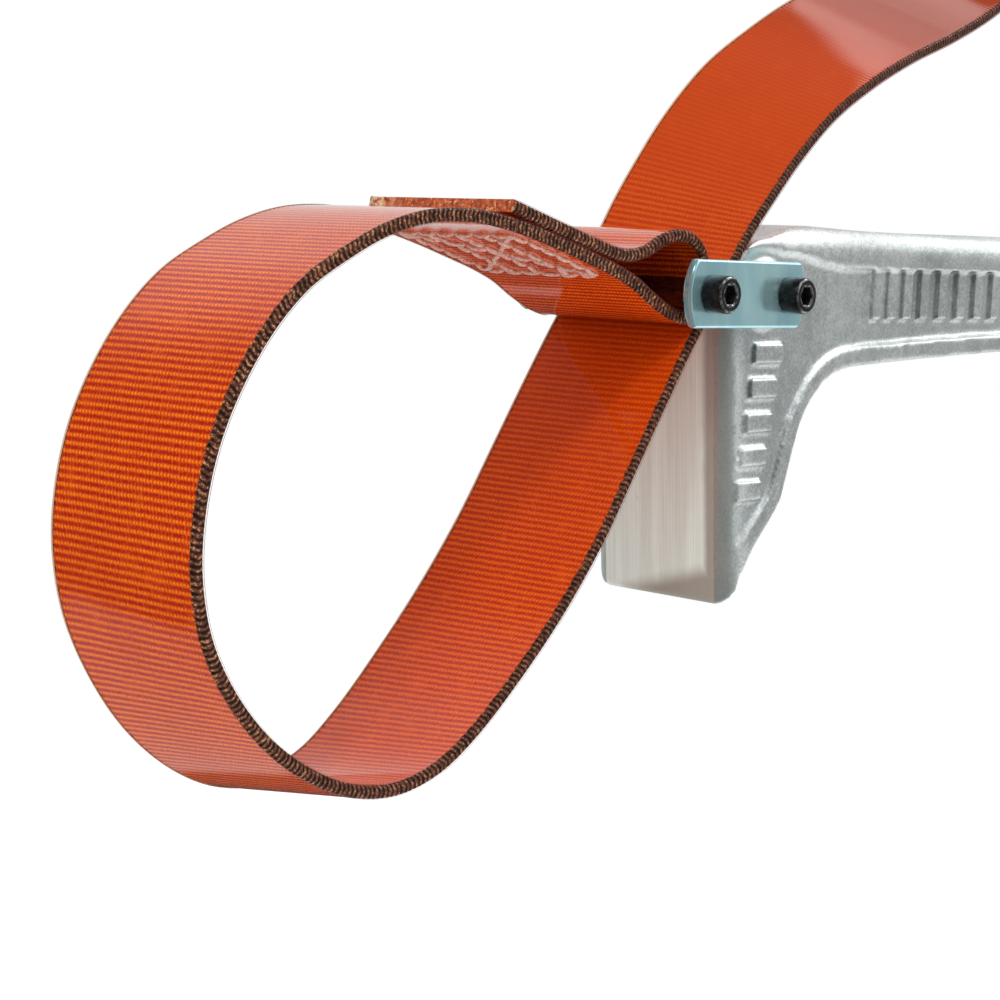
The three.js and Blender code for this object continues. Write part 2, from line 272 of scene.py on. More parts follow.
def cast_aluminium():
    """As-cast skin, and the front face ground flat with upright scratches."""
    n = Nodes("cast_aluminium")
    place = n.place()
    fine = n.noise(place, 2300, 3, 0.6)
    middling = n.noise(place, 480, 3, 0.55)
    lines = n.fibres(place, (1, 3800, 45), 4, 0.65)
    out = n.new("ShaderNodeVectorMath", operation="DOT_PRODUCT")
    n.link(place, out.inputs[0])
    out.inputs[1].default_value = FACE_OUT
    depth = n.less(out.outputs["Value"], FACE_TOP.dot(FACE_OUT))
    wander = n.scaled(n.noise(place, 260, 3, 0.6), 0.3 * MM, -0.15 * MM)
    side = n.add(n.size(n.split(place)[1]), wander)
    on_face = n.times(n.ramp(depth, *FACE_DEPTH), n.ramp(side, *FACE_HALF))
    # painted shade: the cast skin next to the ground face is darker
    skin = n.mix(n.times(n.ramp(depth, *SHADED_DEPTH), 0.75), cast_skin(n, place, fine),
                 rgb(0.40, 0.47, 0.44))
    # the ground face darkens towards its near side and towards its foot
    cut = n.mix(face_darkening(n, place, wander), ground_metal(n, place, lines),
                rgb(0.34, 0.32, 0.27))
    rough = n.add(n.times(on_face, n.ramp(lines, 0.3, 0.7, 0.14, 0.24)),
                  n.ramp(middling, 0.3, 0.7, 0.36, 0.50))
    height = n.add(n.times(n.add(n.times(fine, 0.45), middling), n.less(1.0, on_face)),
                   n.times(n.times(lines, 0.10), on_face))
    metal = n.scaled(n.ramp(depth, *DULL_DEPTH), -0.30, 0.95)
    return n.set(color=n.mix(on_face, skin, cut), rough=rough,
                 metal=n.scaled(on_face, -0.50, metal), normal=n.bump(height, 0.45, 0.22 * MM))


# ---------------------------------------------------------------- other metals
def plated(name, low, high, rough, grain=(1, 1, 1), metal=1.0):
    n = Nodes(name)
    place = n.stretch(n.place(), grain)
    haze = n.noise(place, 160, 4, 0.6)
    fine = n.noise(place, 1800, 2, 0.5)
    mottle = n.add(n.times(haze, 0.7), n.times(fine, 0.3))
    return n.set(color=n.mix(n.ramp(haze, 0.35, 0.65), low, high),
                 rough=n.ramp(mottle, 0.35, 0.65, *rough), metal=metal,
                 normal=n.bump(fine, 0.12, 0.03 * MM))


def black_oxide():
    n = Nodes("black_oxide")
    haze = n.noise(n.place(), 700, 3, 0.6)
    color = n.mix(n.ramp(haze, 0.4, 0.7), rgb(0.018, 0.019, 0.020), rgb(0.050, 0.052, 0.052))
    return n.set(color=color, rough=n.ramp(haze, 0.3, 0.7, 0.22, 0.36), metal=0.7,
                 normal=n.bump(haze, 0.2, 0.04 * MM))


def worn_oxide():
    """The screw heads' rims, where the black has rubbed off."""
    n = Nodes("worn_oxide")
    haze = n.noise(n.place(), 1500, 3, 0.6)
    color = n.mix(n.ramp(haze, 0.4, 0.6), rgb(0.07, 0.072, 0.072), rgb(0.30, 0.31, 0.31))
    return n.set(color=color, rough=n.ramp(haze, 0.3, 0.7, 0.2, 0.34), metal=0.9)


# ---------------------------------------------------------------- webbing
RIB_PITCH = 1.05 * MM  # along the strap
DOT_PITCH = 0.66 * MM  # across it
RIB_WANDER = 0.2 * MM
BRAID_PITCH = 0.84 * MM
BRAID_LEAN = 0.34 * MM  # this far up or down the side, a strand lies one radian later
BRAID_FROM = 13.68 * MM  # across
BRAID_RAGGED = 1.0 * MM
FREE_FROM = 335 * MM  # along the strap, where it leaves the nip


def weave_height(n, at, along, across):
    """Ribs of slanting dots, from about 0 in the gaps to 1 on top."""
    wander = n.fibres(at, (60, 190, 0), 2, 0.5)
    rib_at = n.math("DIVIDE", n.scaled(wander, RIB_WANDER, along), RIB_PITCH / FULL_TURN)
    rib = n.wave(rib_at)
    dot_at = n.scaled(rib_at, 0.5, n.math("DIVIDE", across, DOT_PITCH / FULL_TURN))
    dot = n.wave(n.scaled(n.math("SINE", rib_at), -2.5, dot_at))
    yarn = n.fibres(at, (1900, 1900, 1), 3, 0.65)
    weave = n.times(n.math("POWER", rib, 1.3), n.scaled(dot, 0.66, 0.38))
    gap = n.times(n.less(1.0, rib), n.less(1.0, dot))
    weave = n.scaled(gap, 0.26, weave)
    return n.add(weave, n.scaled(yarn, 0.9, -0.45))


def webbing_colour(n, at, along, weave, plain):
    broad = n.fibres(at, (45, 70, 0), 3, 0.55)
    patch = n.fibres(at, (240, 210, 0), 3, 0.6)
    base = n.mix(n.ramp(weave, 0.04, 0.76), rgb(0.40, 0.011, 0.0003), rgb(1.0, 0.150, 0.002))
    # painted highlight: the tops of the ribs are yellower, less so on the smoother free length
    painted_highlight = n.times(n.ramp(weave, 0.72, 1.15), n.ramp(plain, 0.0, 0.38, 1.0, 0.0))
    base = n.mix(painted_highlight, base, rgb(1.0, 0.34, 0.012))
    base = n.mix(n.ramp(broad, 0.35, 0.8, 0.0, 0.30), base, rgb(0.46, 0.022, 0.001))
    base = n.mix(n.ramp(patch, 0.50, 0.75, 0.0, 0.22), base, rgb(0.95, 0.15, 0.004))
    # painted shade: the strap is darker and redder on each side of the nip, where the eye shades it
    painted_nip_shade = n.math("MAXIMUM", n.ramp(along, FREE_FROM - 60 * MM, FREE_FROM - 15 * MM, 0.0, 0.45),
                   n.ramp(along, FREE_FROM, FREE_FROM + 25 * MM, 0.0, 0.68))
    base = n.mix(painted_nip_shade, base, rgb(0.53, 0.050, 0.001))
    # the free length is darker from 50 mm past the nip onwards
    darker_free_end = n.ramp(along, FREE_FROM + 50 * MM, FREE_FROM + 85 * MM, 0.0, 0.55)
    return n.mix(darker_free_end, base, rgb(0.20, 0.022, 0.003))


def braid_colour(n, at, strand, ragged, plain):
    fleck = n.fibres(at, (3200, 3200, 3200), 3, 0.7)
    worn = n.scaled(ragged, 1.7, n.scaled(strand, 0.65, -0.66))
    braid = n.mix(n.ramp(worn, 0.1, 0.8), rgb(0.018, 0.007, 0.004), rgb(0.120, 0.042, 0.024))
    gold = n.times(n.ramp(worn, 0.45, 0.9), n.ramp(fleck, 0.50, 0.58))
    gold = n.times(gold, n.less(1.0, plain))
    return n.mix(n.times(gold, 0.80), braid, rgb(0.74, 0.35, 0.18))


def webbing():
    """Ribs of slanting dots, with a dark braid round both selvedges, under a clear coat."""
    n = Nodes("webbing")
    at = n.route()
    along, across, up = n.split(at)
    weave = weave_height(n, at, along, across)
    # the free length is worn smoother
    plain = n.math("MAXIMUM", n.ramp(along, FREE_FROM - 150 * MM, FREE_FROM - 60 * MM, 0.0, 0.38),
                   n.ramp(along, FREE_FROM - 10 * MM, FREE_FROM + 35 * MM, 0.0, 0.82))
    weave = n.scaled(n.less(0.36, weave), plain, weave)
    # the braid's strands meet in a V on the side
    strand = n.wave(n.add(n.math("DIVIDE", along, BRAID_PITCH / FULL_TURN),
                          n.math("DIVIDE", n.size(up), BRAID_LEAN)))
    ragged = n.fibres(at, (1100, 1100, 1100), 3, 0.6)
    edge = n.less(n.scaled(strand, -0.20 * MM, BRAID_FROM), 0.46 * BRAID_RAGGED)
    edge = n.scaled(ragged, BRAID_RAGGED, edge)
    side = n.ramp(n.less(n.size(across), edge), -0.05 * MM, 0.12 * MM)
    color = n.mix(side, webbing_colour(n, at, along, weave, plain),
                  braid_colour(n, at, strand, ragged, plain))
    height = n.add(n.times(weave, n.less(1.0, side)), n.times(strand, side))
    # the coat lies smooth over the ribs, with only a trace of them
    return n.set(color=color, rough=0.7, spec=0.06, normal=n.bump(height, 0.6, 0.16 * MM),
                 coat=n.scaled(side, -0.75, 1.0), coat_rough=0.04, coat_ior=1.5,
                 coat_normal=n.bump(height, 0.05, 0.08 * MM))


def cut_end():
    """Frayed orange yarn, with pale ends towards the far side."""
    n = Nodes("webbing_cut_end")
    place = n.place()
    yarn = n.fibres(place, (900, 1500, 1500), 4, 0.7)
    fleck = n.noise(place, 1500, 3, 0.7)
    color = n.mix(n.ramp(yarn, 0.35, 0.65), rgb(0.30, 0.040, 0.010), rgb(0.72, 0.16, 0.035))
    color = n.mix(n.ramp(fleck, 0.56, 0.66), color, rgb(0.95, 0.55, 0.20))
    far = n.ramp(n.split(place)[1], 6 * MM, 14 * MM, 0.0, 0.75)
    pale = n.times(far, n.ramp(n.noise(place, 700, 3, 0.7), 0.42, 0.58))
    return n.set(color=n.mix(pale, color, rgb(0.98, 0.80, 0.50)), rough=0.5,
                 normal=n.bump(yarn, 0.7, 0.2 * MM), coat=0.5, coat_rough=0.15)


def clear_coat(name, low, high, start, facing, lip):
    """Urethane beyond the selvedge: clear over the braid, tinted along its two lips from start
    across, where they are seen at the facing values given."""
    n = Nodes(name)
    across, up = (n.size(part) for part in n.split(n.route())[1:])
    haze = n.scaled(n.noise(n.place(), 300, 2, 0.5), 0.3, -0.15)
    color = n.mix(n.add(n.ramp(up, 0.80 * MM, 0.95 * MM), haze), low, high)
    weight = n.new("ShaderNodeLayerWeight")
    weight.inputs["Blend"].default_value = 0.5
    alpha = n.times(n.ramp(across, start, start + 0.15 * MM),
                    n.ramp(up, 0.50 * MM, 0.66 * MM, 0.0, lip))
    alpha = n.times(alpha, n.ramp(weight.outputs["Facing"], *facing))
    return n.set(color=color, rough=0.4, spec=0.1, alpha=alpha, coat=0.06, coat_rough=0.05)


def thread_mat():
    n = Nodes("thread")
    twist = n.fibres(n.place(), (2600, 2600, 2600), 3, 0.6)
    color = n.mix(n.ramp(twist, 0.35, 0.7), rgb(0.62, 0.30, 0.22), rgb(0.93, 0.66, 0.56))
    return n.set(color=color, rough=0.45, normal=n.bump(twist, 0.5, 0.1 * MM), coat=0.8,
                 coat_rough=0.06)


def floor_mat():
    n = Nodes("floor_pale")
    color = n.mix(n.noise(n.place(), 3, 2, 0.5), rgb(0.93, 0.93, 0.93), rgb(0.95, 0.95, 0.95))
    return n.set(color=color, rough=0.9, glow=rgb(1, 1, 1), glow_level=0.3)


CAST = cast_aluminium()
ZINC = plated("zinc_plate", rgb(0.46, 0.82, 0.92), rgb(0.64, 0.98, 1.0), (0.12, 0.22),
              grain=(1, 1, 0.2), metal=0.78)
WASHER = plated("washer_steel", rgb(0.62, 0.64, 0.63), rgb(0.80, 0.81, 0.80), (0.2, 0.34))
SLEEVE = plated("dark_steel", rgb(0.10, 0.085, 0.08), rgb(0.22, 0.19, 0.18), (0.2, 0.36))
BRONZE = plated("bronze", rgb(0.42, 0.27, 0.12), rgb(0.60, 0.42, 0.20), (0.3, 0.45))
BLACK = black_oxide()
WORN = worn_oxide()
WEBBING = webbing()
CUT = cut_end()
COAT_NEAR = clear_coat("clear_coat_red", rgb(0.34, 0.085, 0.065), rgb(0.22, 0.05, 0.045),
                       start=13.9 * MM, facing=(0.45, 0.8), lip=0.9)
COAT_FAR = clear_coat("clear_coat", rgb(0.46, 0.26, 0.17), rgb(0.80, 0.48, 0.30),
                      start=13.72 * MM, facing=(-0.2, 0.0), lip=0.85)
THREAD = thread_mat()


# ---------------------------------------------------------------- mesh helpers
def make_object(name, verts, faces, materials, face_material=None):
    mesh = bpy.data.meshes.new(name)
    mesh.from_pydata([tuple(v) for v in verts], [], faces)
    for material in materials:
        mesh.materials.append(material)
    if face_material is not None:
        mesh.polygons.foreach_set("material_index", face_material)
    shade_smooth(mesh)
    return add_object(name, mesh)


def shade_smooth(mesh, sharp=None):
    """Smooth shading, with edges sharper than the angle given in degrees kept sharp."""
    mesh.polygons.foreach_set("use_smooth", [True] * len(mesh.polygons))
    if sharp is not None:
        mesh.set_sharp_from_angle(angle=math.radians(sharp))


def tube_faces(rings, points, turned_in=False):
    """Faces of a closed tube: rings of so many points each, and a cap at both ends."""
    faces = []
    for i in range(rings - 1):
        for j in range(points):
            k = (j + 1) % points
            faces.append((i * points + j, i * points + k,
                          (i + 1) * points + k, (i + 1) * points + j))
    faces += [tuple(range(points))[::-1], tuple(range((rings - 1) * points, rings * points))]
    return [face[::-1] for face in faces] if turned_in else faces


def clean(obj, merge=None):
    """Turns every face outwards, after joining points closer than merge."""
    bm = bmesh.new()
    bm.from_mesh(obj.data)
    if merge is not None:
        bmesh.ops.remove_doubles(bm, verts=bm.verts, dist=merge)
    bmesh.ops.recalc_face_normals(bm, faces=bm.faces)
    bm.to_mesh(obj.data)
    bm.free()


def copy_node(name, node, material):
    """A copy of a CAD node's own mesh."""
    obj = add_object(name, frame["nodes"][node].data.copy())
    obj.data.materials.clear()
    obj.data.materials.append(material)
    return obj


def modify(obj, name, kind, **values):
    modifier = obj.modifiers.new(name, kind)
    for key, value in values.items():
        setattr(modifier, key, value)


def settle(obj):
    """Applies every modifier."""
    bpy.context.view_layer.update()
    done = bpy.data.meshes.new_from_object(obj.evaluated_get(bpy.context.evaluated_depsgraph_get()))
    obj.modifiers.clear()
    obj.data = done


def finish_piece(obj, body, slot, *nodes):
    if nodes:
        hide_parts(*nodes)
    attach(obj, body)


# ---------------------------------------------------------------- strap
# (x, z, twist) in mm, x from the pivot: the CAD's line, from the sewn end's tip round the eye and
# the loop to the free end. The far edge lies higher than the near one by the twist.
STRAP_LINE = [
    (-60.8, 11.45, 0), (-51.5, 8.95, 0), (-42.6, 6.65, 0), (-37.9, 5.55, 0), (-34.6, 5.35, 0),
    (-31.2, 6.0, 0), (-27.6, 7.6, 0), (-23.6, 8.55, 0), (-19.8, 8.0, 0), (-17.1, 5.9, 0),
    (-16.2, 2.8, 0), (-16.4, 0, 0), (-17.5, -2.75, 0), (-20.4, -3.85, 0), (-24.4, -3.1, 0),
    (-28.8, -1.2, 0), (-33.5, 1.3, 0), (-38, 3.0, 0), (-42.7, 4.4, 0), (-51.4, 6.8, 0),
    (-60.5, 8.85, 0), (-68.5, 9.8, 0), (-77.5, 9.3, 0), (-85, 7.3, 0), (-92, 4.1, 0),
    (-98.5, 0.3, 0), (-104.2, -5.1, 0), (-109.1, -12, 0), (-112.6, -19.4, 0),
    (-114.5, -27.6, 0), (-114.7, -35, 0), (-113, -43, -0.6), (-109.2, -50.6, -1.6),
    (-103.2, -58.2, -3), (-96, -64, -4), (-88, -67.9, -4.4), (-79.4, -69.2, -4.4),
    (-71.5, -67.3, -3.8), (-64.5, -62.9, -2.8), (-56, -55.5, -1.6), (-47.4, -46.9, -0.6),
    (-38.9, -36.7, 0), (-30.9, -25, 0), (-24.6, -15.7, 0), (-18.9, -7.6, 0),
    (-15.5, -3.3, 0.2), (-12.4, 0.8, 0.8), (-9.8, 4.5, 1.6), (-7.1, 8.3, 2.6),
    (-4, 12.4, 3.8), (1, 18.1, 5.6), (7.4, 24.8, 7.3), (17.3, 33.1, 8.8),
    (28.8, 39.8, 9.8), (41.2, 45.7, 11.2), (55, 50.8, 11.4), (68, 56.3, 11), (78, 61.8, 10),
    (86, 66.9, 9)]
# more of the strap's sizes, in mm
STRAP_WIDTH = 28.6
STRAP_STEP = 0.22
EYE_WITHIN = 70  # the eye's right end is this near the start, along the line
WEB_HALF = 14.20  # half the width of the webbing itself, in its clear coat
WEB_THIN, WEB_FULL = 0.88, 0.90  # half its thickness between the selvedges and on them
WEB_ROUND = 0.42
WEB_FLAT = 12.9  # the ribs reach this far across
SELVEDGE = (13.50, 0.89)  # where the selvedge starts, across and up
FLAT_POINTS, BEND_POINTS = 15, 6
BEND_FROM = 0.15  # radians from straight up, where the selvedge's rounding starts
STRAND_LIFT = 0.018
STRAND_FROM, STRAND_FULL = 13.0, 13.4  # across, where the strands begin to stand up
COAT_RING = [(13.3, 0.885), (13.7, 0.95), (14.02, 0.99), (14.2, 0.92), (14.28, 0.7), (14.3, 0.3)]
COAT_EVERY = 3  # steps of the strap's line


def smooth_line(points, per_span=24):
    """Centripetal Catmull-Rom through the points, as the CAD's curve is."""
    p = np.array(points, float)
    p = np.vstack([2 * p[0] - p[1], p, 2 * p[-1] - p[-2]])
    out = []
    for i in range(1, len(p) - 2):
        a, b, c, d = p[i - 1:i + 3]
        t0 = 0.0
        t1 = t0 + np.linalg.norm(b - a) ** 0.5
        t2 = t1 + np.linalg.norm(c - b) ** 0.5
        t3 = t2 + np.linalg.norm(d - c) ** 0.5
        for t in np.linspace(t1, t2, per_span, endpoint=False):
            a1 = (t1 - t) / (t1 - t0) * a + (t - t0) / (t1 - t0) * b
            a2 = (t2 - t) / (t2 - t1) * b + (t - t1) / (t2 - t1) * c
            a3 = (t3 - t) / (t3 - t2) * c + (t - t2) / (t3 - t2) * d
            b1 = (t2 - t) / (t2 - t0) * a1 + (t - t0) / (t2 - t0) * a2
            b2 = (t3 - t) / (t3 - t1) * a2 + (t - t1) / (t3 - t1) * a3
            out.append((t2 - t) / (t2 - t1) * b1 + (t - t1) / (t2 - t1) * b2)
    out.append(p[-2])
    return np.array(out)


def even_line(points, step):
    """Points every step along the line, and the distance of each from the start."""
    fine = smooth_line(points)
    gap = np.r_[0, np.cumsum(np.linalg.norm(np.diff(fine[:, :2], axis=0), axis=1))]
    count = int(round(gap[-1] / step))
    at = np.linspace(0, gap[-1], count + 1)
    return np.stack([np.interp(at, gap, fine[:, k]) for k in range(3)], 1), at


def frames(line):
    """Centre, across and up vectors at each point of the line, in mm."""
    ahead = np.gradient(line[:, :2], axis=0)
    t = np.stack([ahead[:, 0], 0 * ahead[:, 0], ahead[:, 1]], 1)
    t /= np.linalg.norm(t, axis=1)[:, None]
    across = np.stack([0 * line[:, 0], np.full(len(line), STRAP_WIDTH), line[:, 2]], 1)
    across /= np.linalg.norm(across, axis=1)[:, None]
    up = np.cross(t, across)
    up /= np.linalg.norm(up, axis=1)[:, None]
    centre = np.stack([line[:, 0], 0 * line[:, 0], line[:, 1]], 1)
    return centre, across, up


LINE, ALONG = even_line(STRAP_LINE, STRAP_STEP)
CENTRE, ACROSS, UP = frames(LINE)


def to_frame(points):
    """From mm, with x from the pivot, to the frame's metres."""
    return np.reshape(points, (-1, 3)) * MM + np.array([X0, 0, 0])


def sweep(name, pick, across, up, faces, materials, face_material=None):
    """A piece of the strap: its section, as across and up at each point, set along the picked
    points of the line. The route attribute keeps (along, across, up) for the materials."""
    points = (CENTRE[pick][:, None] + across[..., None] * ACROSS[pick][:, None]
              + up[..., None] * UP[pick][:, None])
    obj = make_object(name, to_frame(points), faces, materials, face_material)
    along = np.tile(ALONG[pick][:, None], (1, across.shape[1]))
    flat = np.stack([along, across, up], -1).reshape(-1, 3) * MM
    route = obj.data.attributes.new("route", "FLOAT_VECTOR", "POINT")
    route.data.foreach_set("vector", flat.astype(np.float32).ravel())
    clean(obj)
    return obj


def strap_section():
    """Closed outline of (across, up) in mm: ribs between two fuller, rounded selvedges."""
    flat = np.linspace(-WEB_FLAT, WEB_FLAT, FLAT_POINTS)
    bend = [(WEB_HALF - WEB_ROUND + WEB_ROUND * math.sin(a),
             WEB_FULL - WEB_ROUND + WEB_ROUND * math.cos(a))
            for a in np.linspace(BEND_FROM, math.pi / 2, BEND_POINTS)]
    half = [SELVEDGE] + bend
    right = half + [(WEB_HALF, 0.0)] + [(x, -y) for x, y in reversed(half)]
    left = [(-x, -y) for x, y in right]
    return [(x, WEB_THIN) for x in flat] + right + [(x, -WEB_THIN) for x in flat[::-1]] + left


def strap():
    section = np.array(strap_section())
    n, m = len(LINE), len(section)
    across = np.tile(section[:, 0], (n, 1))
    up = np.tile(section[:, 1], (n, 1))
    along = np.tile(ALONG[:, None], (1, m))
    # the braid stands up along both edges
    past = np.clip(np.abs(across) - STRAND_FROM, 0, None)
    strand = np.sin(FULL_TURN * along / (BRAID_PITCH / MM) + np.abs(up) / (BRAID_LEAN / MM))
    out = STRAND_LIFT * np.clip(past / (STRAND_FULL - STRAND_FROM), 0, 1) * strand
    size = np.maximum(np.hypot(past, up), 0.1)
    across = across + np.sign(across) * out * past / size
    up = up + out * up / size
    faces = tube_faces(n, m)
    kinds = [0] * (len(faces) - 2) + [1, 1]
    obj = sweep("strap_webbing", np.arange(n), across, up, faces, [WEBBING, CUT], kinds)
    shade_smooth(obj.data, 60)
    finish_piece(obj, "webbing", "webbing", "strap")


def coat_edge(name, side, material):
    """The clear urethane bead outside one selvedge."""
    ring = COAT_RING + [(x, -y) for x, y in reversed(COAT_RING)]
    pick = np.arange(0, len(LINE), COAT_EVERY)
    across, up = (np.tile(part, (len(pick), 1)) for part in np.array(ring).T)
    faces = tube_faces(len(pick), len(ring), side < 0)
    obj = sweep(name, pick, side * across, up, faces, [material])
    finish_piece(obj, "webbing", "webbing")


# ---------------------------------------------------------------- stitches
STITCH_FROM, STITCH_TO = -57.5, -38.2  # x of the sewn patch
SEWN_LAYER = 60  # the under layer's length from the eye's right end, more than the patch's
STITCH_HALF = 11.0
STITCH_ROWS = 5
STITCH_LENGTH = 3.4
STITCH_ENDS = (0.06, 0.94)  # a stitch covers this much of its length
STITCH_WOBBLE = 0.14
STITCH_POINTS = 7
THREAD_RADIUS = 0.36
THREAD_LOW, THREAD_ARCH = 0.72, 0.36  # up from the strap's middle
THREAD_FULLNESS = 0.6  # below 1, the arch rises faster at its ends
THREAD_SIDES = 8


def at_route(along, across, up):
    """The point at these distances on the strap, in mm."""
    i = int(np.clip(np.searchsorted(ALONG, along), 0, len(ALONG) - 1))
    return CENTRE[i] + across * ACROSS[i] + up * UP[i]


def thread(points):
    """Verts and faces of a round thread through the points, in mm."""
    ahead = np.gradient(np.array(points), axis=0)
    ahead /= np.linalg.norm(ahead, axis=1)[:, None]
    verts = []
    for point, d in zip(points, ahead):
        a = np.cross(d, [0.0, 0.0, 1.0])
        a /= np.linalg.norm(a)
        b = np.cross(d, a)
        verts += [point + THREAD_RADIUS * (math.cos(w) * a + math.sin(w) * b)
                  for w in np.linspace(0, FULL_TURN, THREAD_SIDES, endpoint=False)]
    return verts, tube_faces(len(points), THREAD_SIDES)


def find_along(x, first, last):
    """Distance along the strap where it is at x, between two distances."""
    inside = np.where((ALONG >= first) & (ALONG <= last))[0]
    return ALONG[inside[np.argmin(np.abs(LINE[inside, 0] - x))]]


def sewn_layer(top):
    """The first and last distance along the strap of one layer of its sewn end."""
    turn = ALONG[np.argmax(np.where(ALONG < EYE_WITHIN, LINE[:, 0], -np.inf))]
    return (0, turn) if top else (turn, turn + SEWN_LAYER)


def stitch_rows(top):
    """Stitches as (along, across, along, across): rows along the strap, a row at each end, and
    a cross."""
    a, b = sorted(find_along(x, *sewn_layer(top)) for x in (STITCH_FROM, STITCH_TO))
    rows = []
    wobble = np.random.default_rng(7)

    def run(s0, v0, s1, v1):
        count = max(int(round(math.hypot(s1 - s0, v1 - v0) / STITCH_LENGTH)), 1)
        for i in range(count):
            f0, f1 = ((i + end) / count for end in STITCH_ENDS)
            j = wobble.normal(0, STITCH_WOBBLE, 4)  # sewn by machine, not quite evenly
            rows.append((s0 + (s1 - s0) * f0 + j[0], v0 + (v1 - v0) * f0 + j[1],
                         s0 + (s1 - s0) * f1 + j[2], v0 + (v1 - v0) * f1 + j[3]))

    for v in np.linspace(-STITCH_HALF, STITCH_HALF, STITCH_ROWS):
        run(a, v, b, v)
    for s in (a, b):
        run(s, -STITCH_HALF, s, STITCH_HALF)
    run(a, -STITCH_HALF, b, STITCH_HALF)
    run(a, STITCH_HALF, b, -STITCH_HALF)
    return rows


def stitches(name, top, node):
    # the strap's own up points down where it runs towards +X
    middle_at = find_along((STITCH_FROM + STITCH_TO) / 2, *sewn_layer(top))
    skyward = 1 if UP[np.searchsorted(ALONG, middle_at)][2] > 0 else -1
    outward = skyward if top else -skyward
    verts, faces = [], []
    for s0, v0, s1, v1 in stitch_rows(top):
        points = []
        for f in np.linspace(0, 1, STITCH_POINTS):
            lift = THREAD_LOW + THREAD_ARCH * math.sin(math.pi * f) ** THREAD_FULLNESS
            points.append(at_route(s0 + (s1 - s0) * f, v0 + (v1 - v0) * f, outward * lift))
        more, ends = thread(points)
        faces += [tuple(k + len(verts) for k in face) for face in ends]
        verts += more
    finish_piece(make_object(name, to_frame(verts), faces, [THREAD]), "webbing", "thread", node)


strap()
coat_edge("strap_coat_near", -1, COAT_NEAR)
coat_edge("strap_coat_far", 1, COAT_FAR)
stitches("stitches_top", True, "stitch_thread_top")
stitches("stitches_under", False, "stitch_thread_under")


# ---------------------------------------------------------------- handle casting
GRIP_BARS = (36, 88, -5.5, 5.2)  # x and z ranges round the raised bars, in mm from the pivot
HEAD_BARS = (-7, 7, -34, -7.5)
VOXEL = 0.4 * MM
SOFTEN_STEPS, EASE_STEPS = 5, 14
GROUND_OVER = 1.5 * MM  # the grinding reaches this far above the face's top


def near_bar(at):
    x, z = at.x / MM - X0 / MM, at.z / MM - PIVOT.z / MM
    return any(x0 < x < x1 and z0 < z < z1 for x0, x1, z0, z1 in (GRIP_BARS, HEAD_BARS))


def handle():
    obj = copy_node("handle_body", "handle_casting", CAST)
    modify(obj, "voxel", "REMESH", mode="VOXEL", voxel_size=VOXEL)
    modify(obj, "soften", "SMOOTH", factor=0.5, iterations=SOFTEN_STEPS)
    settle(obj)
    # more off the ribs than off the raised bars
    away = obj.vertex_groups.new(name="away_from_bars")
    away.add([v.index for v in obj.data.vertices if not near_bar(v.co)], 1.0, "REPLACE")
    modify(obj, "ease", "SMOOTH", factor=0.5, iterations=EASE_STEPS,
           vertex_group="away_from_bars")
    settle(obj)
    mesh = obj.data
    co = np.empty(len(mesh.vertices) * 3)
    mesh.vertices.foreach_get("co", co)
    co = co.reshape(-1, 3)
    # the front is ground: what stands proud of the cut is pushed back to it
    proud = (co - np.array(FACE_TOP)) @ np.array(FACE_OUT) + FACE_CUT
    proud = np.where(co[:, 2] < FACE_TOP.z + GROUND_OVER, np.clip(proud, 0, None), 0)
    co -= np.outer(proud, np.array(FACE_OUT))
    mesh.vertices.foreach_set("co", co.ravel())
    mesh.update()
    shade_smooth(mesh)
    finish_piece(obj, "handle", "cast_aluminium", "handle_casting")


handle()


# ---------------------------------------------------------------- link hardware
HEAD_R, HEAD_H = 2.87, 3.5  # mm, a #6 socket head cap screw
SHANK_R = 1.75
HEX_FLATS, HEX_DEPTH = 2.78, 1.8  # the socket: across its flats, and how deep
SCREW_SIDES = 72
RING_SIDES = 64
SPACER_BORE, BUSH_BORE = 1.95, 1.85  # radii


def circle(centre, y, radii):
    """Points round the Y axis through the centre, y and the radii in mm."""
    turns = [FULL_TURN * i / len(radii) for i in range(len(radii))]
    return [(centre.x + r * MM * math.cos(a), centre.y + y * MM, centre.z + r * MM * math.sin(a))
            for a, r in zip(turns, radii)]


def hexagon(grow=0.0):
    """Radii of the socket's outline at each side of the screw, grown by so much."""
    radii = []
    for i in range(SCREW_SIDES):
        a = (FULL_TURN * i / SCREW_SIDES + math.pi / 3) % (math.pi / 3) - math.pi / 6
        radii.append(HEX_FLATS / 2 / math.cos(a) + grow)
    return radii


